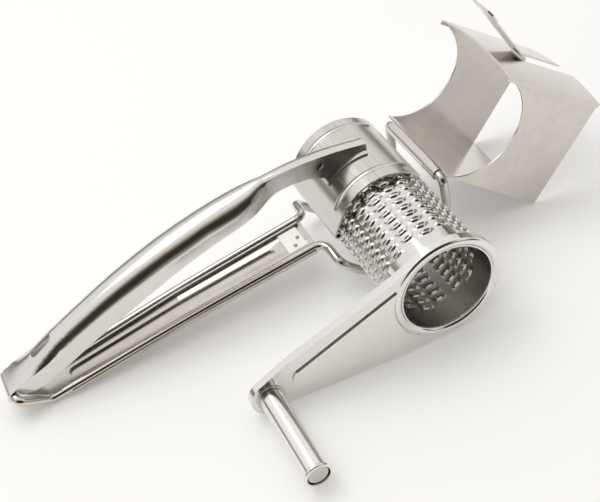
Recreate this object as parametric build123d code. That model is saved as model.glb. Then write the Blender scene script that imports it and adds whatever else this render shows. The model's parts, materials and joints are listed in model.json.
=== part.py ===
"""Hand-held rotary drum grater, all stainless steel, on its bent wire frame.

Working frame: x runs from the tail hinge to the head, y along the drum axis
(the crank is on the -y side), z up from the table.  The finished pieces are
moved so that the origin is the middle of the bounding box, on the table.
The crank drum lies pulled part way out, and the hopper is folded open.
"""
from build123d import *
import math
import os

os.makedirs("parts", exist_ok=True)

# ---------------------------------------------------------------- sizes (mm)
SHEET = 0.8                    # gauge of the hopper, presser and lower plate
HANDLE_SHEET = 1.0             # gauge of the upper handle
PIVOT_CLEARANCE = 0.05         # radial running clearance on the frame wire

# wire frame
WIRE_D = 4.0
TAIL_Z = 11.0                  # height of the tail crossbar
TAIL_HALF = 10.1
TAIL_BEND = 2.5                # tight corners beside the rolled tail of the handle
LEG_X = 12.9                   # where the tail legs meet the table
LEG_HALF = 8.0
ROD_BOW = 1.5                  # the grip rods arch up this much at mid length
NECK_X = 144.0                 # end of the grip rods
NECK_HALF = 10.3
NECK_Z = 18.8
STEP_X = 145.1                 # the rods step out here to the cradle
STEP_Z = 15.9
CRADLE_HALF = 24.2
CRADLE_FRONT_X = 158.1
HEAD_X = 197.0                 # head legs and hopper hinge
HEAD_Z = 35.3
CRADLE_BEND = 22.0
SMALL_BEND = 3.4
STEP_BEND = 5.0

# lower handle plate and its catch
PLATE_SETBACK = 3.0            # end of the plate short of the neck bends
TAB_X0 = 4.6
TAB_X1 = 17.0
TAB_HALF = 4.8
GUTTER_START = 5.0             # the rolled edges start this far after the tab
PLATE_DROP = 0.5               # top of the plate below the rod axes
PLATE_FIT = 0.06               # play between its rolled edges and the rods
GROOVE_START = 6.5             # after the tab
GROOVE_END = 16.6              # short of the plate's head end
GROOVE_HALF = 2.6
GROOVE_DEPTH = 1.2
CATCH_SETBACK = 3.2
CATCH_L = 9.0
CATCH_HALF = 6.6
SLIT_W = 0.9                   # short slit in the plate, beside the catch
SLIT_L = 4.5
SLIT_Y = -4.5
SLIT_GAP = 0.2                 # between the catch and the slit
RIVET_D = 1.6
RIVET_H = 0.5
RIVET_PLACES = ((1.9, 0.0), (4.6, -3.8))   # setback from the head end of the catch, and y

# drum
DRUM_X = 170.5
CRADLE_GAP = 0.3               # teeth to cradle wire
DRUM_R = 20.6
DRUM_WALL = 0.8
TOOTH_H = 0.9
DRUM_MOUTH_Y = -71.3
DRUM_BAND = 13.0               # mouth to the middle of the first teeth
TOOTH_RINGS = 11
TOOTH_PITCH = 4.4
DRUM_REAR_BAND = 8.6           # middle of the last teeth to the far end
TOOTH_COLUMNS = 17
SEAM_DEG = 160.5               # lap seam, from the top towards the head
SEAM_GAP_DEG = 25.6            # between the two columns beside it
TOOTH_LONG = 5.2
TOOTH_SHORT = 2.7
TOOTH_TAPER_DEG = 22.0
HOLE_LONG = 2.8
HOLE_SHORT = 1.0

# crank
KNOB_X = 90.9
EYE_R = 8.2
RING_R = 24.0
CRANK_SHEET = 1.0
CRANK_RIM = 3.4
SLOPE_START = 22.0             # the arm leans back from here, from the drum axis
SLOPE_END = 9.5                # to here, from the knob axis
SLOPE_BACK = 5.3
PANEL_MARGIN = 5.2             # plain border beside the raised panel
PANEL_END_R = 4.3
PANEL_FROM_EYE = 15.0          # middle of the panel's round end, from the knob axis
PANEL_RISE = 0.8
LIP_R = 2.0

# knob
KNOB_R = 5.0
KNOB_LIP_R = 5.8
KNOB_LIP_L = 1.6
KNOB_END_Y = -110.0
PIN_R = 2.1
KNOB_CUP_R = 4.7
KNOB_CUP_DEPTH = 2.2
PIN_HEAD_R = 4.3
PIN_HEAD_H = 1.2
WASHER_R = 6.0
WASHER_T = 0.5
AXIAL_GAP = 0.15
RIVET_HEAD_R = 3.4
RIVET_HEAD_H = 0.8

# presser
PRESSER_X = 169.7
PRESSER_Z = 27.3
PRESSER_R = 23.0
PRESSER_HALF = 23.0
PRESSER_FRONT_DEG = 38.0
PRESSER_BACK_DEG = 150.0
SKIRT_L = 8.6
ROLL_R = 1.8
BEAD_Y = 16.8
BEAD_R = 2.0
BEAD_RISE = 0.6

# upper handle, station by station: x, half width, shoulder z, crown rise, skirt z
HANDLE_STATIONS = (
    (-1.5, 7.3, 13.2, 0.3, 12.9),
    (1.2, 7.3, 14.6, 0.5, 12.9),
    (4.5, 7.3, 16.2, 0.9, 10.0),
    (12.0, 7.4, 18.3, 3.1, 10.3),
    (23.0, 7.4, 22.2, 5.4, 13.9),
    (40.0, 7.8, 28.0, 7.2, 21.6),
    (56.0, 8.4, 34.0, 7.8, 28.0),
    (78.0, 8.8, 41.0, 8.0, 36.4),
    (98.0, 8.6, 46.0, 7.6, 42.0),
    (112.0, 8.4, 48.9, 6.8, 44.9),
    (119.0, 7.0, 51.1, 5.4, 46.0),
    (124.0, 4.7, 53.5, 3.6, 46.6),
    (128.5, 3.0, 55.7, 1.5, 47.8),
    (134.0, 2.5, 56.7, 0.7, 48.7),
    (146.0, 2.5, 56.6, 0.5, 47.9),
    (160.0, 2.5, 55.2, 0.5, 42.0),
    (174.5, 2.5, 52.4, 0.5, 42.0),
)
HANG_X0 = 12.9
HANG_L = 10.3
HANG_W = 4.5
TAIL_CURL_HALF = 7.3
TAIL_CURL_START_DEG = 119.0
TAIL_CURL_END_DEG = 310.0
FOOT_HALF = 6.6
FOOT_FRONT_DEG = 82.0
FOOT_BACK_DEG = 136.0
NECK_HOLE_D = 3.0
NECK_HOLE_X = 152.5
NECK_HOLE_Z = 51.4

# hopper
HOPPER_HALF = 26.5
HOPPER_LENGTH = 54.3
HOPPER_DEPTH = 51.2            # hinge axis to the rear wall, drum side
HOPPER_FLARE = 2.8             # the mouth is this much deeper
HOPPER_ARC_R = 24.3
HOPPER_ARC_S = -3.7
HOPPER_ARC_T = 26.5
REAR_BULGE = 2.4
FLANGE_W = 2.0
HINGE_TUBE_HALF = 20.2
TUBE_GAP_DEG = 50.0
SLOT_HALF = 5.2
SLOT_S = 24.0
TONGUE_HALF = 4.8
TONGUE_L = 30.0
TONGUE_LEAN = 21.0
HEAD_HALF = 7.8
HEAD_L = 6.0
HOPPER_OPEN_DEG = 132.5        # turned back this far from upright

# ------------------------------------------------------------- derived values
WIRE_R = WIRE_D / 2
CURL_R = WIRE_R + PIVOT_CLEARANCE
TOOTH_TIP_R = DRUM_R + TOOTH_H
DRUM_Z = WIRE_D + CRADLE_GAP + TOOTH_TIP_R
KNOB_Z = EYE_R
FRONT_FACE_Y = DRUM_MOUTH_Y
EYE_FACE_Y = FRONT_FACE_Y + SLOPE_BACK
TOOTH_Y0 = DRUM_MOUTH_Y + DRUM_BAND
DRUM_REAR_Y = TOOTH_Y0 + (TOOTH_RINGS - 1) * TOOTH_PITCH + DRUM_REAR_BAND
TOOTH_STEP_DEG = (360 - SEAM_GAP_DEG) / (TOOTH_COLUMNS - 1)
PLATE_HEAD_X = NECK_X - PLATE_SETBACK
GUTTER_X0 = TAB_X1 + GUTTER_START
GROOVE_X0 = TAB_X1 + GROOVE_START
GROOVE_X1 = PLATE_HEAD_X - GROOVE_END
CATCH_X1 = PLATE_HEAD_X - CATCH_SETBACK
CATCH_X0 = CATCH_X1 - CATCH_L
SLIT_X = CATCH_X1 + SLIT_GAP + SLIT_W / 2
DRUM_AXIS = Axis((DRUM_X, 0, DRUM_Z), (0, 1, 0))


# -------------------------------------------------------------------- helpers
def band_xz(points, low, high, half):
    """Strip that follows an x-z line, from low to high beside it, in +-half of y."""
    upper = [(x, z + high) for x, z in points]
    lower = [(x, z + low) for x, z in reversed(points)]
    face = Plane.XZ * make_face(Polyline(*upper, *lower, close=True))
    return extrude(face, amount=half, both=True)


def prism_xz(face, y0, y1):
    """Face drawn in x-z, as a block from y0 to y1."""
    block = extrude(Plane.XZ * face, amount=-(y1 - y0))
    return Pos(0, y0, 0) * block


def prism_xy(face, z0, z1):
    """Face drawn in x-y, as a block from z0 to z1."""
    return Pos(0, 0, z0) * extrude(face, amount=z1 - z0)


def ring_sector(x, z, r_in, r_out, deg0, deg1, half):
    """Part of a tube along y, between two angles of the x-z plane."""
    def at(r, deg):
        return (x + r * math.cos(math.radians(deg)), z + r * math.sin(math.radians(deg)))
    middle = (deg0 + deg1) / 2
    edges = [
        ThreePointArc(at(r_out, deg0), at(r_out, middle), at(r_out, deg1)),
        Line(at(r_out, deg1), at(r_in, deg1)),
        ThreePointArc(at(r_in, deg1), at(r_in, middle), at(r_in, deg0)),
        Line(at(r_in, deg0), at(r_out, deg0)),
    ]
    return prism_xz(make_face(Curve() + edges), -half, half)


def tube_y(x, z, r, y0, y1):
    """Round bar along y."""
    return Pos(x, y0, z) * Rot(-90, 0, 0) * Cylinder(
        r, y1 - y0, align=(Align.CENTER, Align.CENTER, Align.MIN))


# ---------------------------------------------------------------- wire frame
def side_points(side):
    """Corners of the wire on one side, from the tail to the head."""
    mid_x = (LEG_X + NECK_X) / 2
    mid_z = (WIRE_R + NECK_Z) / 2 + ROD_BOW
    return [
        (0, side * TAIL_HALF, TAIL_Z),
        (LEG_X, side * LEG_HALF, WIRE_R),
        (mid_x, side * (LEG_HALF + NECK_HALF) / 2, mid_z),
        (NECK_X, side * NECK_HALF, NECK_Z),
        (STEP_X, side * CRADLE_HALF, STEP_Z),
        (CRADLE_FRONT_X, side * CRADLE_HALF, WIRE_R),
        (HEAD_X, side * CRADLE_HALF, WIRE_R),
        (HEAD_X, side * CRADLE_HALF, HEAD_Z),
    ]


def bend_radii():
    bow_radius = 1400
    return [TAIL_BEND, STEP_BEND, bow_radius, STEP_BEND, STEP_BEND,
            CRADLE_BEND, CRADLE_BEND, SMALL_BEND]


def frame_path():
    near, far = side_points(-1), side_points(1)
    radii = bend_radii()
    return FilletPolyline(*near, *reversed(far), radius=radii + radii[::-1], close=True)


def wire_along(path, radius):
    """Round wire along each edge of a path, joined into one solid."""
    pieces = []
    for edge in path.edges():
        start = Plane(origin=edge @ 0, z_dir=edge % 0)
        pieces.append(sweep(start * Circle(radius), path=edge))
    body = pieces[0]
    return body.fuse(*pieces[1:])


def make_wire_frame():
    return wire_along(frame_path(), WIRE_R)


# --------------------------------------------------------- lower handle plate
def rod_line():
    """Side view of the rods' axes from the tail leg to the neck."""
    tail_leg, leg, mid, neck = side_points(1)[:4]
    return [(p[0], p[2]) for p in (tail_leg, leg, mid, neck)]


def line_z(points, x):
    """Height of the line at x; its last run carries on past its end."""
    for (x0, z0), (x1, z1) in zip(points, points[1:]):
        if x <= x1:
            break
    return z0 + (z1 - z0) * (x - x0) / (x1 - x0)


def rod_half(x):
    return LEG_HALF + (NECK_HALF - LEG_HALF) * (x - LEG_X) / (NECK_X - LEG_X)


def plate_line(x0, x1):
    rods = rod_line()
    inner = [p for p in rods if x0 < p[0] < x1]
    return [(x0, line_z(rods, x0))] + inner + [(x1, line_z(rods, x1))]


def plate_top(x):
    """Height of the plate's top."""
    return line_z(rod_line(), x) - PLATE_DROP


def gutter(side):
    """Edge of the plate, rolled round the inner lower side of a rod."""
    x0, x1 = GUTTER_X0, PLATE_HEAD_X
    rods = [edge for edge in frame_path().edges()
            if LEG_X < edge.center().X < NECK_X and edge.length > 10 and side * edge.center().Y > 0]
    tube = None
    for edge in rods:
        start = Plane(origin=edge @ 0, z_dir=edge % 0)
        piece = sweep(start * Circle(WIRE_R + PLATE_FIT + SHEET), path=edge)
        piece = piece - sweep(start * Circle(WIRE_R + PLATE_FIT), path=edge)
        tube = piece if tube is None else tube + piece
    keep_line = plate_line(x0, x1)
    under = band_xz(keep_line, -6, 0.0, CRADLE_HALF)
    beside = band_xz(keep_line, -6, WIRE_R * 0.5, CRADLE_HALF)
    inner_face = make_face(Polyline((x0, 0), (x1, 0), (x1, side * rod_half(x1)),
                                    (x0, side * rod_half(x0)), close=True))
    inside = prism_xy(inner_face, -5, 60)
    return (tube & beside & inside) + (tube & under)


def make_lower_plate():
    top = -PLATE_DROP
    web = band_xz(plate_line(TAB_X0, PLATE_HEAD_X), top - SHEET, top, CRADLE_HALF)
    tray = band_xz(plate_line(TAB_X1, PLATE_HEAD_X), top - SHEET - GROOVE_DEPTH, top, CRADLE_HALF)
    room = band_xz(plate_line(TAB_X1, PLATE_HEAD_X), top - GROOVE_DEPTH, 30, CRADLE_HALF)

    edge = WIRE_R + PLATE_FIT + SHEET * 0.5
    outline = make_face(Polyline(
        (TAB_X0, -TAB_HALF), (TAB_X1, -TAB_HALF), (TAB_X1, -rod_half(TAB_X1) + edge),
        (PLATE_HEAD_X, -rod_half(PLATE_HEAD_X) + edge), (PLATE_HEAD_X, rod_half(PLATE_HEAD_X) - edge),
        (TAB_X1, rod_half(TAB_X1) - edge), (TAB_X1, TAB_HALF), (TAB_X0, TAB_HALF), close=True))
    plate = web & prism_xy(outline, -10, 60)

    length = GROOVE_X1 - GROOVE_X0
    centre = Pos((GROOVE_X0 + GROOVE_X1) / 2, 0)
    wide = centre * SlotOverall(length + 2 * SHEET, 2 * (GROOVE_HALF + SHEET))
    narrow = centre * SlotOverall(length, 2 * GROOVE_HALF)
    plate = plate + (tray & prism_xy(wide, -10, 60))
    plate = plate - (room & prism_xy(narrow, -10, 60))
    plate = plate - Pos(SLIT_X, SLIT_Y, plate_top(SLIT_X)) * Box(SLIT_W, SLIT_L, 4 * SHEET)
    return plate + gutter(1) + gutter(-1)


def make_catch_plate():
    return band_xz(plate_line(CATCH_X0, CATCH_X1), -PLATE_DROP, -PLATE_DROP + SHEET, CATCH_HALF)


def make_catch_rivets():
    """Two domed rivet heads on the catch plate."""
    slope = math.degrees(math.atan2(
        plate_top(CATCH_X1) - plate_top(CATCH_X0), CATCH_X1 - CATCH_X0))
    rivets = []
    for setback, y in RIVET_PLACES:
        x = CATCH_X1 - setback
        seat = Pos(x, y, plate_top(x) + SHEET)
        head = Cylinder(RIVET_D / 2, RIVET_H, align=(Align.CENTER, Align.CENTER, Align.MIN))
        head = fillet(head.edges().group_by(Axis.Z)[-1], RIVET_H * 0.6)
        rivets.append(seat * Rot(0, -slope, 0) * head)
    return Compound(children=rivets)


# --------------------------------------------------------------- upper handle
def handle_section(x, half, shoulder, rise, skirt):
    edges = [
        Line((-half, skirt), (half, skirt)),
        Line((half, skirt), (half, shoulder)),
        ThreePointArc((half, shoulder), (0, shoulder + rise), (-half, shoulder)),
        Line((-half, shoulder), (-half, skirt)),
    ]
    plane = Plane(origin=(x, 0, 0), x_dir=(0, 1, 0), z_dir=(1, 0, 0))
    return plane * make_face(Curve() + edges)


def handle_stations():
    """The measured stations, with one more between each pair on a smooth curve."""
    rows = []
    last = len(HANDLE_STATIONS) - 1
    for i in range(last):
        before, a = HANDLE_STATIONS[max(i - 1, 0)], HANDLE_STATIONS[i]
        b, after = HANDLE_STATIONS[i + 1], HANDLE_STATIONS[min(i + 2, last)]
        middle = [(a[0] + b[0]) / 2]
        for k in range(1, 5):
            slope_a = (b[k] - before[k]) / (b[0] - before[0])
            slope_b = (after[k] - a[k]) / (after[0] - a[0])
            middle.append((a[k] + b[k]) / 2 + (b[0] - a[0]) * (slope_a - slope_b) / 8)
        rows += [a, tuple(middle)]
    return rows + [HANDLE_STATIONS[-1]]


def handle_body():
    rows = handle_stations()
    outer, inner = [], []
    for i, (x, half, shoulder, rise, skirt) in enumerate(rows):
        outer.append(handle_section(x, half, shoulder, rise, skirt))
        a, b = rows[max(i - 1, 0)], rows[min(i + 1, len(rows) - 1)]
        thick = HANDLE_SHEET * math.hypot(1, (b[2] - a[2]) / (b[0] - a[0]))
        inner_half = half - HANDLE_SHEET * 0.85
        inner.append(handle_section(x, inner_half, shoulder - thick, max(rise - 0.1, 0.3), skirt - 20))
    return loft(outer, ruled=True) - loft(inner, ruled=True)


def make_upper_handle():
    body = handle_body()
    tail = wire_along(Polyline(*[Vector(*p) for p in (
        (0, -TAIL_HALF - 3, TAIL_Z), (0, TAIL_HALF + 3, TAIL_Z))]), CURL_R + HANDLE_SHEET * 0.5)
    body = body - tail
    for side in (-1, 1):
        a, b = side_points(side)[:2]
        body = body - wire_along(Polyline(Vector(*a), Vector(*b)), WIRE_R + 0.3)
    body = body - Pos(0, 0, TAIL_Z) * Box(2 * (CURL_R + 0.2), 40, 2 * CURL_R)

    curl = ring_sector(0, TAIL_Z, CURL_R, CURL_R + HANDLE_SHEET, TAIL_CURL_START_DEG,
                       TAIL_CURL_END_DEG, TAIL_CURL_HALF)
    slot = prism_xy(Pos(HANG_X0 + HANG_L / 2, 0) * SlotOverall(HANG_L, HANG_W), 10, 60)
    body = (body + curl) - slot

    under = tube_y(PRESSER_X, PRESSER_Z, PRESSER_R, -PRESSER_HALF, PRESSER_HALF)
    body = body - under
    foot = ring_sector(PRESSER_X, PRESSER_Z, PRESSER_R, PRESSER_R + SHEET,
                       FOOT_FRONT_DEG, FOOT_BACK_DEG, FOOT_HALF)
    hollow = Pos(PRESSER_X - 10, 0, PRESSER_Z + PRESSER_R) * Box(
        44, 2 * (HANDLE_STATIONS[-1][1] - HANDLE_SHEET * 0.85), 12)
    hole = tube_y(NECK_HOLE_X, NECK_HOLE_Z, NECK_HOLE_D / 2, -8, 8)
    return body + (foot - hollow) - hole


# -------------------------------------------------------------------- presser
def make_presser():
    shell = ring_sector(PRESSER_X, PRESSER_Z, PRESSER_R - SHEET, PRESSER_R,
                        PRESSER_FRONT_DEG, PRESSER_BACK_DEG, PRESSER_HALF)
    back = math.radians(PRESSER_BACK_DEG)
    along = (-math.sin(back), math.cos(back))
    out = (math.cos(back), math.sin(back))

    def at(r, run):
        return (PRESSER_X + r * out[0] + run * along[0], PRESSER_Z + r * out[1] + run * along[1])

    skirt = prism_xz(make_face(Polyline(
        at(PRESSER_R, 0), at(PRESSER_R, SKIRT_L), at(PRESSER_R - SHEET, SKIRT_L),
        at(PRESSER_R - SHEET, 0), close=True)), -PRESSER_HALF, PRESSER_HALF)
    roll_x, roll_z = at(PRESSER_R - ROLL_R, SKIRT_L)
    roll = tube_y(roll_x, roll_z, ROLL_R, -PRESSER_HALF, PRESSER_HALF)
    roll = roll - tube_y(roll_x, roll_z, ROLL_R - SHEET, -PRESSER_HALF - 1, PRESSER_HALF + 1)
    body = shell + skirt + roll

    for side in (-1, 1):
        profile = Plane.XY * Pos(PRESSER_X + PRESSER_R + BEAD_RISE - BEAD_R, side * BEAD_Y) * Circle(BEAD_R)
        profile = Pos(0, 0, PRESSER_Z) * profile
        axis = Axis((PRESSER_X, 0, PRESSER_Z), (0, -1, 0))
        bead = revolve(profile, axis=axis, revolution_arc=PRESSER_BACK_DEG - 50)
        bead = bead.rotate(axis, 50)
        outside = tube_y(PRESSER_X, PRESSER_Z, PRESSER_R - SHEET * 0.5, -PRESSER_HALF, PRESSER_HALF)
        body = body + (bead - outside)
    return body


# --------------------------------------------------------------------- hopper
def to_hopper(shape):
    """From the upright closed place, with the hinge at the origin, to the open one."""
    return Pos(HEAD_X, 0, HEAD_Z) * Rot(0, HOPPER_OPEN_DEG, 0) * shape


def hopper_side(y0):
    inner_b = -(CURL_R + SHEET)
    outline = make_face(Polyline(
        (inner_b, 0), (inner_b, HOPPER_LENGTH),
        (-(HOPPER_DEPTH + HOPPER_FLARE) + SHEET, HOPPER_LENGTH), (-HOPPER_DEPTH + SHEET, 0), close=True))
    arc = Pos(-HOPPER_ARC_T, HOPPER_ARC_S) * Circle(HOPPER_ARC_R)
    return prism_xz(outline - arc, y0, y0 + SHEET)


def make_hopper_body():
    """Front wall with the rolled hinge tube, and the two side walls."""
    front = Pos(-(CURL_R + SHEET / 2), 0, HOPPER_LENGTH / 2) * Box(
        SHEET, 2 * HOPPER_HALF, HOPPER_LENGTH)
    tube = ring_sector(0, 0, CURL_R, CURL_R + SHEET, 180, 540 - TUBE_GAP_DEG, HINGE_TUBE_HALF)
    body = front + tube + hopper_side(-HOPPER_HALF) + hopper_side(HOPPER_HALF - SHEET)
    return to_hopper(body)


def rear_face(shift):
    """Arched section of the rear wall, seen from above, shift deeper than the drum side."""
    x = -HOPPER_DEPTH - shift
    half = HOPPER_HALF + SHEET
    edges = [
        ThreePointArc((x, -half), (x - REAR_BULGE, 0), (x, half)),
        Line((x, half), (x + SHEET, half)),
        ThreePointArc((x + SHEET, half), (x + SHEET - REAR_BULGE, 0), (x + SHEET, -half)),
        Line((x + SHEET, -half), (x, -half)),
    ]
    return make_face(Curve() + edges)


def make_hopper_rear():
    """Rear wall with its slot, side flanges and the folded-out latch tongue."""
    wall = loft([rear_face(0), Pos(0, 0, HOPPER_LENGTH) * rear_face(HOPPER_FLARE)], ruled=True)
    slot = Pos(-HOPPER_DEPTH, 0, SLOT_S + HOPPER_LENGTH / 2) * Box(24, 2 * SLOT_HALF, HOPPER_LENGTH)
    wall = wall - slot
    for side in (-1, 1):
        depth0, depth1 = HOPPER_DEPTH, HOPPER_DEPTH + HOPPER_FLARE
        flange = make_face(Polyline(
            (-depth0, 0), (-depth1, HOPPER_LENGTH), (-depth1 + FLANGE_W, HOPPER_LENGTH),
            (-depth0 + FLANGE_W, 0), close=True))
        y0 = HOPPER_HALF if side > 0 else -HOPPER_HALF - SHEET
        wall = wall + prism_xz(flange, y0, y0 + SHEET)

    root_x = -HOPPER_DEPTH - HOPPER_FLARE * SLOT_S / HOPPER_LENGTH - REAR_BULGE
    shank = Pos(-SHEET / 2, 0, -TONGUE_L / 2) * Box(SHEET, 2 * TONGUE_HALF, TONGUE_L)
    head = Pos(-SHEET / 2, 0, -TONGUE_L - HEAD_L / 2) * Box(SHEET, 2 * HEAD_HALF, HEAD_L)
    head = chamfer(head.edges().filter_by(Axis.X).group_by(Axis.Z)[0], HEAD_L * 0.35)
    tongue = Pos(root_x, 0, SLOT_S) * Rot(0, TONGUE_LEAN, 0) * (shank + head)
    fold = tube_y(root_x, SLOT_S - SHEET * 0.4, SHEET * 0.9, -TONGUE_HALF, TONGUE_HALF)
    return to_hopper(wall + tongue + fold)


# ----------------------------------------------------------------------- drum
def tooth_places():
    """Turn about the drum axis and place along it of every tooth, ring by ring staggered."""
    places = []
    for column in range(TOOTH_COLUMNS):
        turn = SEAM_DEG - SEAM_GAP_DEG / 2 - column * TOOTH_STEP_DEG
        shift = 0.5 * ((column + 1) % 2)
        for ring in range(TOOTH_RINGS - (column + 1) % 2):
            places.append((turn, TOOTH_Y0 + (ring + shift) * TOOTH_PITCH))
    return places


def make_drum():
    """Rolled tube with raised oval eyelets, a slit punched through each."""
    outer = tube_y(0, 0, DRUM_R, DRUM_MOUTH_Y + CRANK_SHEET, DRUM_REAR_Y)
    tooth = extrude(SlotOverall(TOOTH_LONG, TOOTH_SHORT), amount=TOOTH_H + DRUM_WALL / 2,
                    taper=TOOTH_TAPER_DEG)
    hole = extrude(SlotOverall(HOLE_LONG, HOLE_SHORT), amount=4 * DRUM_WALL)
    teeth, holes = [], []
    for turn, y in tooth_places():
        seat = Pos(0, y, 0) * Rot(0, turn, 0)
        teeth.append(seat * Pos(0, 0, DRUM_R - DRUM_WALL / 2) * tooth)
        holes.append(seat * Pos(0, 0, DRUM_R - 2 * DRUM_WALL) * hole)
    body = outer.fuse(*teeth)
    bore = tube_y(0, 0, DRUM_R - DRUM_WALL, DRUM_MOUTH_Y - 1, DRUM_REAR_Y + 1)
    body = body.cut(bore, *holes)
    return Pos(DRUM_X, 0, DRUM_Z) * body


# ---------------------------------------------------------------------- crank
def pear(big_r, small_r, from_eye):
    """Outline round the drum axis and a point on the arm, from_eye along it from the knob."""
    dx, dz = KNOB_X - DRUM_X, KNOB_Z - DRUM_Z
    length = math.hypot(dx, dz)
    span = length - from_eye
    end_x, end_z = DRUM_X + dx * span / length, DRUM_Z + dz * span / length
    along = math.atan2(dz, dx)
    spread = math.acos((big_r - small_r) / span)
    corners = []
    for sign in (-1, 1):
        angle = along + sign * spread
        normal = (math.cos(angle), math.sin(angle))
        pair = [(DRUM_X + big_r * normal[0], DRUM_Z + big_r * normal[1]),
                (end_x + small_r * normal[0], end_z + small_r * normal[1])]
        corners += pair if sign < 0 else pair[::-1]
    big = Pos(DRUM_X, DRUM_Z) * Circle(big_r)
    small = Pos(end_x, end_z) * Circle(small_r)
    return big + small + make_face(Polyline(*corners, close=True))


def crank_band(front, back):
    """Layer of the sloping sheet, between two depths behind its front face."""
    line = [(KNOB_X - 40, EYE_FACE_Y), (KNOB_X + SLOPE_END, EYE_FACE_Y),
            (DRUM_X - SLOPE_START, FRONT_FACE_Y), (DRUM_X + 40, FRONT_FACE_Y)]
    lower = [(x, y + front) for x, y in line]
    upper = [(x, y + back) for x, y in reversed(line)]
    return prism_xy(make_face(Polyline(*lower, *upper, close=True)), -30, 90)


def make_crank():
    far, near = -150.0, 0.0
    whole = prism_xz(pear(RING_R, EYE_R, 0), far, near)
    core = prism_xz(pear(RING_R - CRANK_SHEET, EYE_R - CRANK_SHEET, 0), far, near)
    panel = prism_xz(pear(RING_R - PANEL_MARGIN, PANEL_END_R, PANEL_FROM_EYE), far, near)
    hollow = prism_xz(pear(RING_R - PANEL_MARGIN - CRANK_SHEET, PANEL_END_R - CRANK_SHEET,
                           PANEL_FROM_EYE), far, near)
    ring = tube_y(DRUM_X, DRUM_Z, RING_R, far, near)
    wide_ring = tube_y(DRUM_X, DRUM_Z, RING_R + CRANK_SHEET, far, near)

    face = whole & crank_band(0, CRANK_SHEET)
    rim = (whole - core) & crank_band(0, CRANK_RIM)
    body = face + rim
    body = body + ((panel - ring) & crank_band(-PANEL_RISE, CRANK_SHEET / 2))
    body = body - ((hollow - wide_ring) & crank_band(CRANK_SHEET - PANEL_RISE, 5))

    lip = Pos(DRUM_X, FRONT_FACE_Y + LIP_R * 0.6, DRUM_Z) * Rot(90, 0, 0) * Torus(
        RING_R - LIP_R, LIP_R)
    front = prism_xz(Pos(DRUM_X, DRUM_Z) * Rectangle(80, 80), far, FRONT_FACE_Y + CRANK_SHEET)
    body = body + (lip & front)
    body = body - tube_y(DRUM_X, DRUM_Z, DRUM_R - DRUM_WALL, far, near)
    body = body - tube_y(DRUM_X, DRUM_Z, DRUM_R, FRONT_FACE_Y + CRANK_SHEET, near)
    return body - tube_y(KNOB_X, KNOB_Z, PIN_R, far, near)


# ----------------------------------------------------------------------- knob
def make_knob_pin():
    """Pin riveted through the crank eye, with the flat head seen in the knob's end."""
    back = EYE_FACE_Y + CRANK_SHEET
    shank = tube_y(KNOB_X, KNOB_Z, PIN_R, KNOB_END_Y + AXIAL_GAP + 0.6, back)
    rivet = tube_y(KNOB_X, KNOB_Z, RIVET_HEAD_R, back, back + RIVET_HEAD_H)
    head_y = KNOB_END_Y + 0.6
    head = tube_y(KNOB_X, KNOB_Z, PIN_HEAD_R, head_y, head_y + PIN_HEAD_H)
    head = fillet(head.edges().group_by(Axis.Y)[0], 0.5)
    return shank + rivet + head


def make_knob_washer():
    y1 = EYE_FACE_Y
    washer = tube_y(KNOB_X, KNOB_Z, WASHER_R, y1 - WASHER_T, y1)
    return washer - tube_y(KNOB_X, KNOB_Z, PIN_R, y1 - 5, y1 + 5)


def make_knob_sleeve():
    y1 = EYE_FACE_Y - WASHER_T - AXIAL_GAP
    body = tube_y(KNOB_X, KNOB_Z, KNOB_R, KNOB_END_Y + 0.2, y1)
    lip = tube_y(KNOB_X, KNOB_Z, KNOB_LIP_R, KNOB_END_Y, KNOB_END_Y + KNOB_LIP_L)
    lip = fillet(lip.edges(), KNOB_LIP_L * 0.45)
    body = body + lip
    body = body - tube_y(KNOB_X, KNOB_Z, PIN_R + PIVOT_CLEARANCE, KNOB_END_Y - 5, y1 + 5)
    return body - tube_y(KNOB_X, KNOB_Z, KNOB_CUP_R, KNOB_END_Y - 5, KNOB_END_Y + KNOB_CUP_DEPTH)


# --------------------------------------------------------------------- export
def build_all():
    return {
        "wire_frame": make_wire_frame(),
        "lower_handle_plate": make_lower_plate(),
        "catch_plate": make_catch_plate(),
        "catch_rivets": make_catch_rivets(),
        "upper_handle": make_upper_handle(),
        "presser_plate": make_presser(),
        "hopper_body": make_hopper_body(),
        "hopper_rear_wall": make_hopper_rear(),
        "drum_shell": make_drum(),
        "crank_arm": make_crank(),
        "knob_pin": make_knob_pin(),
        "knob_washer": make_knob_washer(),
        "knob_sleeve": make_knob_sleeve(),
    }


nodes = build_all()
whole_box = Compound(children=[Compound(shape.solids()) for shape in nodes.values()]).bounding_box()
origin = Pos(-(whole_box.min.X + whole_box.max.X) / 2, -(whole_box.min.Y + whole_box.max.Y) / 2,
             -whole_box.min.Z)
for name, shape in nodes.items():
    export_step(origin * shape, f"parts/{name}.step")
print("shift", origin.position)
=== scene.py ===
import json
import math

import bpy
from mathutils import Matrix, Vector


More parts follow.
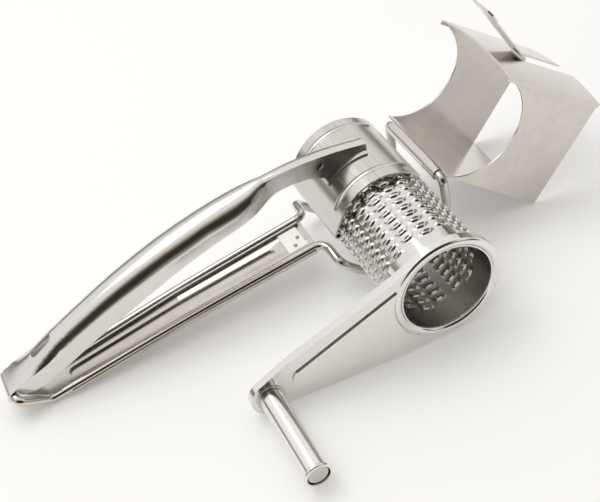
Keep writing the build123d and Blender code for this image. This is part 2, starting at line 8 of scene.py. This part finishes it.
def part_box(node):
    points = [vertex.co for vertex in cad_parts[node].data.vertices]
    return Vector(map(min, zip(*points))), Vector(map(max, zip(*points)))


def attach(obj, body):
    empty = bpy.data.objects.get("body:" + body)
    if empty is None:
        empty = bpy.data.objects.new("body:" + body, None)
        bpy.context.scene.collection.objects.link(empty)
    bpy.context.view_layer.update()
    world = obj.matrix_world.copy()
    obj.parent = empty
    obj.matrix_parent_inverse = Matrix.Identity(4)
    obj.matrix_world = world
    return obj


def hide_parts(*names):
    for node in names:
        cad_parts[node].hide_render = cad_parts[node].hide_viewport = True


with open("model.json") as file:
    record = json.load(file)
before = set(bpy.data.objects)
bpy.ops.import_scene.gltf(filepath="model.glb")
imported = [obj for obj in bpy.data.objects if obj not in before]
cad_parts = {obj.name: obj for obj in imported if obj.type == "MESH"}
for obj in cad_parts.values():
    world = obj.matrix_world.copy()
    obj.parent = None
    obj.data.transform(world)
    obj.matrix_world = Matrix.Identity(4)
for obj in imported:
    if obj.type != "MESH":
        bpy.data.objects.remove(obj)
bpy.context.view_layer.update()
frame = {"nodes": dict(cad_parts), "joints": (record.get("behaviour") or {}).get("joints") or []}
bpy.context.scene.view_settings.view_transform = "Standard"


# ------------------------------------------------------------- frame wire
# One length of 4 mm stainless wire, bent into the tail loop, the two grip
# rods and the cradle, butt-welded under the tail.  Drawn wire is bright,
# with fine lines along its length.
MM = 0.001
MERGE_GAP = 0.002
ONE_PLANE = math.radians(0.5)


def new_piece(name, mesh, *materials):
    """A piece at the origin, active and the only one selected."""
    bpy.ops.object.select_all(action="DESELECT")
    piece = bpy.data.objects.new(name, mesh)
    bpy.context.scene.collection.objects.link(piece)
    mesh.materials.clear()
    for material in materials:
        mesh.materials.append(material)
    bpy.context.view_layer.objects.active = piece
    piece.select_set(True)
    return piece


def formed_piece(name, node, material, broken_edge=0, crease=35, flat_faces=True):
    """A pressed, bent or turned piece: its edges broken by some mm, smooth up to the crease."""
    piece = new_piece(name, frame["nodes"][node].data.copy(), material)
    bpy.ops.object.mode_set(mode="EDIT")
    bpy.ops.mesh.select_all(action="SELECT")
    bpy.ops.mesh.remove_doubles(threshold=MERGE_GAP * MM)
    if flat_faces:
        bpy.ops.mesh.dissolve_limited(angle_limit=ONE_PLANE, delimit={"NORMAL"})
    bpy.ops.object.mode_set(mode="OBJECT")
    if broken_edge:
        edge = piece.modifiers.new("broken_edge", "BEVEL")
        edge.width = broken_edge * MM
        edge.segments = 2
        edge.limit_method = "ANGLE"
        edge.angle_limit = math.radians(crease)
        bpy.ops.object.modifier_apply(modifier="broken_edge")
    bpy.ops.object.shade_smooth_by_angle(angle=math.radians(crease))
    if flat_faces:
        even = piece.modifiers.new("even_faces", "WEIGHTED_NORMAL")
        even.keep_sharp = True
        bpy.ops.object.modifier_apply(modifier="even_faces")
    return piece


def steel_wear():
    """Wear of a steel surface: grain lines, handling marks and slow waves."""
    middle = 0.5
    spread = 0.35
    grain_depth = 0.02

    group = bpy.data.node_groups.new("steel_wear", "ShaderNodeTree")
    for name in ("Grain", "Grain Scale", "Stretch X", "Stretch Y", "Stretch Z",
                 "Marks", "Wave", "Roughness"):
        group.interface.new_socket(name, in_out="INPUT", socket_type="NodeSocketFloat")
    for name in ("Tone", "Roughness", "Height"):
        group.interface.new_socket(name, in_out="OUTPUT", socket_type="NodeSocketFloat")
    nodes, links = group.nodes, group.links
    given = nodes.new("NodeGroupInput")
    result = nodes.new("NodeGroupOutput")

    def combine(kind, first, second):
        node = nodes.new("ShaderNodeMath")
        node.operation = kind
        for slot, value in enumerate((first, second)):
            if isinstance(value, (int, float)):
                node.inputs[slot].default_value = value
            else:
                links.new(value, node.inputs[slot])
        return node.outputs[0]

    def noise(place, detail):
        node = nodes.new("ShaderNodeTexNoise")
        node.inputs["Detail"].default_value = detail
        links.new(place, node.inputs["Vector"])
        return node

    def swing(texture, amount):
        """A noise on both sides of nought, as wide as the given amount."""
        centred = combine("SUBTRACT", texture.outputs["Fac"], middle)
        return combine("MULTIPLY", centred, given.outputs[amount])

    surface = nodes.new("ShaderNodeTexCoord").outputs["Object"]
    stretch = nodes.new("ShaderNodeCombineXYZ")
    for axis in "XYZ":
        links.new(given.outputs["Stretch " + axis], stretch.inputs[axis])
    pulled = nodes.new("ShaderNodeVectorMath")
    pulled.operation = "MULTIPLY"
    links.new(surface, pulled.inputs[0])
    links.new(stretch.outputs[0], pulled.inputs[1])

    grain = noise(pulled.outputs[0], detail=3)
    links.new(given.outputs["Grain Scale"], grain.inputs["Scale"])
    marks = noise(surface, detail=6)
    marks.inputs["Scale"].default_value = 90
    marks.inputs["Roughness"].default_value = 0.65
    wave = noise(surface, detail=1)
    wave.inputs["Scale"].default_value = 28

    grain_swing = swing(grain, "Grain")
    worn = combine("MULTIPLY", combine("ADD", grain_swing, swing(marks, "Marks")), spread)
    tone = combine("ADD", worn, middle)
    roughness = combine("MULTIPLY", combine("ADD", worn, 1.0), given.outputs["Roughness"])
    height = combine("ADD", combine("MULTIPLY", wave.outputs["Fac"], given.outputs["Wave"]),
                     combine("MULTIPLY", grain_swing, grain_depth))
    links.new(tone, result.inputs["Tone"])
    links.new(roughness, result.inputs["Roughness"])
    links.new(height, result.inputs["Height"])
    return group


wear_group = steel_wear()


def steel(name, dark, light, roughness, grain=0.6, grain_scale=700, stretch=(1, 1, 1),
          marks=0.4, wave=0.3, bump=0.3):
    """Stainless steel with its own tone and gloss.  Its grain runs along the axis of least stretch."""
    material = bpy.data.materials.new(name)
    material.use_nodes = True
    nodes, links = material.node_tree.nodes, material.node_tree.links
    metal = nodes["Principled BSDF"]
    metal.inputs["Metallic"].default_value = 1.0
    wear = nodes.new("ShaderNodeGroup")
    wear.node_tree = wear_group
    values = {"Grain": grain, "Grain Scale": grain_scale, "Stretch X": stretch[0],
              "Stretch Y": stretch[1], "Stretch Z": stretch[2], "Marks": marks,
              "Wave": wave, "Roughness": roughness}
    for socket, value in values.items():
        wear.inputs[socket].default_value = value
    tone = nodes.new("ShaderNodeValToRGB")
    dark_end, light_end = tone.color_ramp.elements
    dark_end.position = 0.35
    dark_end.color = (*dark, 1)
    light_end.position = 0.65
    light_end.color = (*light, 1)
    relief = nodes.new("ShaderNodeBump")
    relief.inputs["Strength"].default_value = bump
    relief.inputs["Distance"].default_value = MM
    links.new(wear.outputs["Tone"], tone.inputs["Fac"])
    links.new(wear.outputs["Height"], relief.inputs["Height"])
    links.new(tone.outputs["Color"], metal.inputs["Base Color"])
    links.new(wear.outputs["Roughness"], metal.inputs["Roughness"])
    links.new(relief.outputs["Normal"], metal.inputs["Normal"])
    return material


drawn_wire = steel("drawn_wire", dark=(0.58, 0.55, 0.51), light=(0.70, 0.67, 0.63), roughness=0.12,
                   grain=0.3, grain_scale=300, stretch=(0.1, 1, 1), marks=0.5, wave=0.05, bump=0.15)
frame_wire = formed_piece("frame_wire", "wire_frame", drawn_wire, crease=40, flat_faces=False)
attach(frame_wire, "frame")
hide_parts("wire_frame")


# ----------------------------------------------------- lower handle plate
# Thin pressed sheet laid between the grip rods, its long edges rolled
# round them, with a round-ended groove pressed down its middle and one
# short slit across its head end.
plate_steel = steel("grip_plate_steel", dark=(0.50, 0.47, 0.43), light=(0.70, 0.67, 0.63),
                    roughness=0.24, grain_scale=300, stretch=(0.1, 1, 1), marks=0.7, wave=1.0)
grip_plate = formed_piece("grip_plate", "lower_handle_plate", plate_steel, crease=20)
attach(grip_plate, "frame")
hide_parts("lower_handle_plate")


# ------------------------------------------------------------ catch plate
# Small square of bright sheet, cut to size and riveted down on the head
# end of the grip plate, under the handle's neck.
catch_steel = steel("catch_steel", dark=(0.78, 0.77, 0.75), light=(0.90, 0.89, 0.87),
                    roughness=0.30, grain=0.5, stretch=(1, 0.1, 1), wave=0.1)
catch = formed_piece("catch", "catch_plate", catch_steel, broken_edge=0.12)
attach(catch, "frame")
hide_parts("catch_plate")


# ----------------------------------------------------------- catch rivets
# Two small domed heads of darker steel, closed by a press, that hold the
# catch plate down on the grip plate.
rivet_steel = steel("rivet_steel", dark=(0.34, 0.32, 0.29), light=(0.50, 0.48, 0.45), roughness=0.28)
rivet_heads = formed_piece("catch_rivet_heads", "catch_rivets", rivet_steel,
                           crease=45, flat_faces=False)
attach(rivet_heads, "frame")
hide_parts("catch_rivets")


# ----------------------------------------------------------- upper handle
# Long domed channel of polished sheet, rolled round the tail of the wire
# and drawn in to a narrow neck that is welded to the presser.
handle_steel = steel("polished_handle", dark=(0.66, 0.65, 0.63), light=(0.78, 0.77, 0.75),
                     roughness=0.20, stretch=(0.12, 1, 0.4), marks=0.5, wave=0.5)
top_handle = formed_piece("top_handle", "upper_handle", handle_steel, broken_edge=0.25, crease=30)
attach(top_handle, "handle")
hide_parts("upper_handle")


# ---------------------------------------------------------------- presser
# Curved plate that pushes the food on to the drum: satin sheet with two
# pressed beads and a rolled tail edge.
presser_steel = steel("presser_satin", dark=(0.58, 0.55, 0.52), light=(0.78, 0.76, 0.73),
                      roughness=0.24, grain=0.8, stretch=(1, 0.08, 1), wave=0.25)
presser = formed_piece("presser", "presser_plate", presser_steel, broken_edge=0.15, crease=30)
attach(presser, "handle")
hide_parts("presser_plate")


# ------------------------------------------------------------ hopper body
# Front wall and the two side walls, folded from one satin sheet, with the
# hinge edge rolled round the head of the wire frame.
hopper_steel = steel("hopper_satin", dark=(0.60, 0.565, 0.535), light=(0.73, 0.695, 0.665),
                     roughness=0.17, grain=0.7, grain_scale=500, stretch=(1, 0.06, 1), marks=0.9)
hopper_box = formed_piece("hopper_box", "hopper_body", hopper_steel, broken_edge=0.18, crease=30)
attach(hopper_box, "hopper")
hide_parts("hopper_body")


# ------------------------------------------------------- hopper rear wall
# Rear wall with its side flanges, slotted for the handle's neck, with the
# latch tongue folded out of the slot.
rear_steel = steel("hopper_rear_satin", dark=(0.62, 0.59, 0.56), light=(0.74, 0.71, 0.68),
                   roughness=0.19, grain=0.7, grain_scale=500, stretch=(1, 0.06, 1), marks=0.9)
hopper_back = formed_piece("hopper_back", "hopper_rear_wall", rear_steel, broken_edge=0.18, crease=18)
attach(hopper_back, "hopper")
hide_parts("hopper_rear_wall")


# ------------------------------------------------------------- drum shell
# Rolled tube of punched sheet: oval eyelets are pushed outwards in
# staggered columns, each slit along its crest, beside one lapped seam.
joints = {joint["name"]: joint for joint in frame["joints"]}
drum_axis = Vector(joints["drum_spin"]["pos_m"])
drum_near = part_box("drum_shell")[0].y
drum_length = (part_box("drum_shell")[1].y - drum_near) / MM
DRUM_RADIUS = 20.6
DRUM_GAUGE = 0.5
DRUM_MERGE_GAP = 0.02
DRUM_CREASE = 50
SEAM_TURN = 160.5
SEAM_WIDTH = 25.6
COLUMNS = 17
COLUMN_STEP = (360 - SEAM_WIDTH) / (COLUMNS - 1)
EYELET_PITCH = 4.4
EYELET_RINGS = 11
NEAR_BAND = 9.8
FAR_BAND = drum_length - NEAR_BAND - EYELET_RINGS * EYELET_PITCH
# faces along each band, round the seam, and round and along one eyelet's patch of sheet
NEAR_ROWS = 9
FAR_ROWS = 6
SEAM_FACES = 2
PATCH_ROUND = 6
PATCH_ALONG = 4
# half length round the drum, half width along it, and rise, from an eyelet's foot to its slit
EYELET_LOOPS = ((2.85, 1.55, 0.0), (2.6, 1.36, 0.3), (2.2, 1.08, 0.72), (1.85, 0.86, 0.88),
                (1.6, 0.66, 0.84), (1.4, 0.46, 0.5))


def on_drum(turn, along, rise):
    """Point on the drum: degrees from the top towards the hopper, mm from the mouth, mm up."""
    reach = (DRUM_RADIUS + rise) * MM
    return (drum_axis.x + reach * math.sin(math.radians(turn)), drum_near + along * MM,
            drum_axis.z + reach * math.cos(math.radians(turn)))


def patch_border(half_round, half_along):
    """Points once round the edge of one eyelet's patch of sheet."""
    side = [(-half_round + 2 * half_round * i / PATCH_ROUND, -half_along) for i in range(PATCH_ROUND)]
    side += [(half_round, -half_along + 2 * half_along * i / PATCH_ALONG) for i in range(PATCH_ALONG)]
    return side + [(-a, -b) for a, b in side]


def punched_sheet():
    """Outer face of the drum, point by point, so that bands, seam and eyelets are one sheet."""
    verts, faces = [], []
    row = EYELET_PITCH / PATCH_ALONG
    punched_rows = PATCH_ALONG * EYELET_RINGS
    rows = [NEAR_BAND * i / NEAR_ROWS for i in range(NEAR_ROWS)]
    rows += [NEAR_BAND + row * i for i in range(punched_rows)]
    rows += [NEAR_BAND + row * punched_rows + FAR_BAND * i / FAR_ROWS for i in range(FAR_ROWS + 1)]
    last_row = len(rows) - 1
    half_turn = COLUMN_STEP / 2
    border = patch_border(math.radians(half_turn) * DRUM_RADIUS, EYELET_PITCH / 2)

    def plain(turn, half_width, steps, first, last):
        """Smooth sheet to both sides of a turn, from one row to another."""
        for i in range(first, last):
            for k in range(steps):
                a0 = turn - half_width + 2 * half_width * k / steps
                a1 = turn - half_width + 2 * half_width * (k + 1) / steps
                base = len(verts)
                verts.extend([on_drum(a0, rows[i], 0), on_drum(a1, rows[i], 0),
                              on_drum(a1, rows[i + 1], 0), on_drum(a0, rows[i + 1], 0)])
                faces.append((base, base + 1, base + 2, base + 3))

    def eyelet(turn, along):
        """One patch of sheet, pushed up loop by loop and left open along its slit."""
        loops = [[(a, b, 0) for a, b in border]]
        for long, short, rise in EYELET_LOOPS:
            reaches = [1 / math.hypot(a / long, b / short) for a, b in border]
            loops.append([(a * reach, b * reach, rise) for (a, b), reach in zip(border, reaches)])
        count = len(border)
        base = len(verts)
        for loop in loops:
            verts.extend(on_drum(turn + math.degrees(a / DRUM_RADIUS), along + b, rise)
                         for a, b, rise in loop)
        for inner in range(base, base + count * (len(loops) - 1), count):
            for k in range(count):
                a0 = inner + k
                a1 = inner + (k + 1) % count
                faces.append((a0, a1, a1 + count, a0 + count))

    for column in range(COLUMNS):
        turn = SEAM_TURN - SEAM_WIDTH / 2 - column * COLUMN_STEP
        shifted = (column + 1) % 2
        rings = EYELET_RINGS - shifted
        first = NEAR_ROWS + shifted * PATCH_ALONG // 2
        plain(turn, half_turn, PATCH_ROUND, 0, first)
        plain(turn, half_turn, PATCH_ROUND, first + PATCH_ALONG * rings, last_row)
        for ring in range(rings):
            eyelet(turn, NEAR_BAND + EYELET_PITCH * (ring + 0.5 + 0.5 * shifted))
    plain(SEAM_TURN, (SEAM_WIDTH - COLUMN_STEP) / 2, SEAM_FACES, 0, last_row)
    mesh = bpy.data.meshes.new("drum")
    mesh.from_pydata(verts, [], faces)
    return mesh


drum_steel = steel("polished_drum", dark=(0.70, 0.69, 0.67), light=(0.84, 0.83, 0.81),
                   roughness=0.14, grain=0.5, stretch=(1, 0.1, 1))
# The drum's inside is the same sheet, a little rougher and darker in tone: the darker tone is painted
# shade for the dim bore of the tube.
bore_steel_painted_shade = steel("drum_bore_painted_shade", dark=(0.40, 0.385, 0.36), light=(0.56, 0.545, 0.52),
                   roughness=0.20, stretch=(1, 0.1, 1))
drum = new_piece("drum", punched_sheet(), drum_steel, bore_steel_painted_shade)
bpy.ops.object.mode_set(mode="EDIT")
bpy.ops.mesh.select_all(action="SELECT")
bpy.ops.mesh.remove_doubles(threshold=DRUM_MERGE_GAP * MM)
bpy.ops.mesh.normals_make_consistent(inside=False)
bpy.ops.object.mode_set(mode="OBJECT")
wall = drum.modifiers.new("sheet", "SOLIDIFY")
wall.thickness = DRUM_GAUGE * MM
wall.offset = -1
# The inner faces take the bore steel, with its painted shade.
wall.material_offset = 1
bpy.ops.object.modifier_apply(modifier="sheet")
bpy.ops.object.shade_smooth_by_angle(angle=math.radians(DRUM_CREASE))
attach(drum, "drum")
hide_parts("drum_shell")


# -------------------------------------------------------------- drum seam
# The lap of the rolled sheet, a plain strip inside the drum between two
# columns of eyelets, spot welded along its length.
LAP_FROM = 155.5
LAP_TO = 165.8
LAP_STEPS = 6
LAP_GAUGE = 0.47
LAP_SUNK = 0.02
LAP_SHORT = 0.3
LAP_CREASE = 30
lap_middle = on_drum(LAP_FROM, drum_length / 2, LAP_SUNK - DRUM_GAUGE - LAP_GAUGE / 2)
bpy.ops.object.select_all(action="DESELECT")
bpy.ops.mesh.primitive_plane_add(size=1, calc_uvs=False, location=lap_middle,
                                 rotation=(0, math.radians(LAP_FROM - 90), 0))
lap = bpy.context.active_object
lap.name = "drum_seam"
lap.data.name = "drum_seam"
lap.scale = (LAP_GAUGE * MM, (drum_length - 2 * LAP_SHORT) * MM, 1)
bpy.ops.object.transform_apply(location=True, rotation=True, scale=True)
# The lap takes the bore steel, darkened with painted shade like the drum's inside.
lap.data.materials.append(bore_steel_painted_shade)
bpy.ops.object.mode_set(mode="EDIT")
bpy.ops.mesh.select_all(action="SELECT")
bpy.ops.mesh.spin(steps=LAP_STEPS, angle=math.radians(LAP_TO - LAP_FROM),
                  center=drum_axis, axis=(0, -1, 0))
bpy.ops.mesh.select_all(action="SELECT")
bpy.ops.mesh.normals_make_consistent(inside=False)
bpy.ops.object.mode_set(mode="OBJECT")
bpy.ops.object.shade_smooth_by_angle(angle=math.radians(LAP_CREASE))
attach(lap, "drum")


# -------------------------------------------------------------- crank arm
# Pressed arm with a turned-down rim, a pressed panel, and a rolled lip
# that holds the mouth of the drum.
crank_steel = steel("polished_crank", dark=(0.74, 0.73, 0.71), light=(0.86, 0.85, 0.83),
                    roughness=0.14, grain=0.4, stretch=(0.2, 1, 1), wave=0.5)
crank = formed_piece("crank", "crank_arm", crank_steel, broken_edge=0.45, crease=28)
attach(crank, "drum")
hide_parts("crank_arm")


# --------------------------------------------------------------- knob pin
# Turned steel pin riveted through the arm's eye.  Its round head sits in
# the end of the knob and keeps the knob on.
pin_steel = steel("pin_steel", dark=(0.52, 0.50, 0.47), light=(0.70, 0.68, 0.65), roughness=0.24)
pin = formed_piece("pin", "knob_pin", pin_steel, broken_edge=0.2)
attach(pin, "drum")
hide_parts("knob_pin")


# ------------------------------------------------------------ knob washer
# Thin steel washer on the pin, between the knob and the arm, so that the
# knob turns freely.  It is of the same steel as the pin.
washer = formed_piece("washer", "knob_washer", pin_steel, broken_edge=0.1)
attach(washer, "drum")
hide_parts("knob_washer")


# ------------------------------------------------------------ knob sleeve
# Turned tube of bright steel that spins on the pin, with a lip at its
# free end, round the pin's head.
knob_steel = steel("turned_knob", dark=(0.76, 0.75, 0.73), light=(0.90, 0.89, 0.87),
                   roughness=0.19, grain=0.5, stretch=(1, 0.1, 1), wave=0.2)
knob = formed_piece("knob", "knob_sleeve", knob_steel, broken_edge=0.2)
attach(knob, "knob")
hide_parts("knob_sleeve")


# ------------------------------------------------------------------ floor
# Pale seamless paper.  It shows a little brighter to the camera and in the
# steel's reflections than the lamp makes it, and it keeps the shadow.
FLOOR_SIZE = 6
PAPER_COLOUR = (0.9, 0.9, 0.895, 1)
PAPER_LIFT = 0.20
bpy.ops.mesh.primitive_plane_add(size=FLOOR_SIZE, location=(0, 0, 0))
floor = bpy.context.active_object
floor.name = "floor"
paper = bpy.data.materials.new("white_paper")
paper.use_nodes = True
nodes, links = paper.node_tree.nodes, paper.node_tree.links
matt = nodes["Principled BSDF"]
matt.inputs["Base Color"].default_value = PAPER_COLOUR
matt.inputs["Roughness"].default_value = 0.8
matt.inputs["Emission Color"].default_value = (1, 1, 1, 1)
seen = nodes.new("ShaderNodeLightPath")
direct = nodes.new("ShaderNodeMath")
links.new(seen.outputs["Is Camera Ray"], direct.inputs[0])
links.new(seen.outputs["Is Glossy Ray"], direct.inputs[1])
lift = nodes.new("ShaderNodeMath")
lift.operation = "MULTIPLY"
lift.inputs[1].default_value = PAPER_LIFT
links.new(direct.outputs[0], lift.inputs[0])
links.new(lift.outputs[0], matt.inputs["Emission Strength"])
floor.data.materials.append(paper)


# ------------------------------------------------------------ studio tent
# A white tent with a grey far side, a dark band along the horizon, a dim
# opening at each side, and two dark ones with brown rings, one to each
# side of the camera.  The steel reflects it, and the camera sees white.
TENT_STRENGTH = 0.95
TENT_WHITE = (1.0, 0.985, 0.96, 1)
HORIZON_BROWN = (0.11, 0.095, 0.075, 1)
HORIZON_TOP = 0.30
HORIZON_FULL = 0.10
RING_BROWN = (0.50, 0.43, 0.31, 1)
ROOM_DARK = (0.03, 0.025, 0.02, 1)
# direction of the middle, degrees to the full and to the faded edge, and shade
FAR_SIDE = ((0.05, 1.0, 0.12), 10, 34, (0.62, 0.62, 0.62, 1))
OPENINGS = (((0.95, -0.1, 0.25), 6, 30, (0.16, 0.13, 0.09, 1)),
            ((-0.95, 0.1, 0.15), 4, 22, (0.20, 0.18, 0.15, 1)),
            ((0.15, -0.80, 0.58), 26, 38, RING_BROWN),
            ((-0.45, -0.72, 0.50), 22, 34, RING_BROWN),
            ((0.15, -0.84, 0.52), 19, 30, ROOM_DARK),
            ((-0.45, -0.76, 0.45), 17, 28, ROOM_DARK))
world = bpy.data.worlds.new("studio")
bpy.context.scene.world = world
world.use_nodes = True
nodes, links = world.node_tree.nodes, world.node_tree.links
place = nodes.new("ShaderNodeTexCoord").outputs["Generated"]


def fade(value, none_at, full_at):
    """Mask that rises smoothly from none to full as a value goes from one to the other."""
    soft = nodes.new("ShaderNodeMapRange")
    soft.interpolation_type = "SMOOTHSTEP"
    soft.inputs["From Min"].default_value = none_at
    soft.inputs["From Max"].default_value = full_at
    links.new(value, soft.inputs["Value"])
    return soft.outputs["Result"]


def shaded(colour, mask, shade):
    """The tent so far, with a shade over it where the mask is full."""
    layer = nodes.new("ShaderNodeMix")
    layer.data_type = "RGBA"
    links.new(mask, layer.inputs["Factor"])
    if isinstance(colour, tuple):
        layer.inputs["A"].default_value = colour
    else:
        links.new(colour, layer.inputs["A"])
    layer.inputs["B"].default_value = shade
    return layer.outputs["Result"]


def with_opening(colour, centre, full_to, fades_to, shade):
    """The tent so far, with a round opening about the direction of its centre."""
    along = nodes.new("ShaderNodeVectorMath")
    along.operation = "DOT_PRODUCT"
    along.inputs[1].default_value = Vector(centre).normalized()
    links.new(place, along.inputs[0])
    faded = math.cos(math.radians(fades_to))
    full = math.cos(math.radians(full_to))
    return shaded(colour, fade(along.outputs["Value"], faded, full), shade)


height = nodes.new("ShaderNodeSeparateXYZ")
links.new(place, height.inputs[0])
colour = with_opening(TENT_WHITE, *FAR_SIDE)
colour = shaded(colour, fade(height.outputs["Z"], HORIZON_TOP, HORIZON_FULL), HORIZON_BROWN)
for tent_opening in OPENINGS:
    colour = with_opening(colour, *tent_opening)
tent = nodes["Background"]
tent.inputs["Strength"].default_value = TENT_STRENGTH
links.new(colour, tent.inputs["Color"])
backdrop = nodes.new("ShaderNodeBackground")
backdrop.inputs["Color"].default_value = (1, 1, 1, 1)
path = nodes.new("ShaderNodeLightPath")
choose = nodes.new("ShaderNodeMixShader")
links.new(path.outputs["Is Camera Ray"], choose.inputs["Fac"])
links.new(tent.outputs["Background"], choose.inputs[1])
links.new(backdrop.outputs["Background"], choose.inputs[2])
links.new(choose.outputs["Shader"], nodes["World Output"].inputs["Surface"])


# -------------------------------------------------------------- top light
# One soft box over the far side of the object, turned to its middle, for
# the soft shadow and the bright streaks on the steel.
LIGHT_PLACE = (-0.25, 0.35, 0.95)
LIGHT_LENGTH = 0.7
LIGHT_WIDTH = 0.5
LIGHT_WATTS = 2.2
bpy.ops.object.light_add(type="AREA", location=LIGHT_PLACE)
top_light = bpy.context.active_object
top_light.name = "top_light"
top_light.data.shape = "RECTANGLE"
top_light.data.size = LIGHT_LENGTH
top_light.data.size_y = LIGHT_WIDTH
top_light.data.energy = LIGHT_WATTS
top_light.rotation_euler = (-top_light.location).to_track_quat("-Z", "Y").to_euler()


# ----------------------------------------------------------------- camera
# The photograph's own viewpoint.  The camera's place from the tail of the
# wire, its axes and its lens were fitted to the wire frame.
CAMERA_FROM_TAIL = Vector((0.0390, -0.3625, 0.3470))
CAMERA_RIGHT = Vector((0.8873, -0.4198, -0.1914))
CAMERA_UP = Vector((0.4211, 0.5674, 0.7079))
CAMERA_FORWARD = Vector((0.1885, 0.7085, -0.6801))
CAMERA_LENS = 69.9
tail = Vector(joints["handle_hinge"]["pos_m"])
turned = Matrix((CAMERA_RIGHT, CAMERA_UP, -CAMERA_FORWARD)).transposed().to_4x4()
bpy.ops.object.camera_add()
camera = bpy.context.active_object
camera.matrix_world = Matrix.Translation(tail + CAMERA_FROM_TAIL) @ turned
camera.data.sensor_width = 36
camera.data.lens = CAMERA_LENS
camera.data.clip_start = 0.01
bpy.context.scene.camera = camera
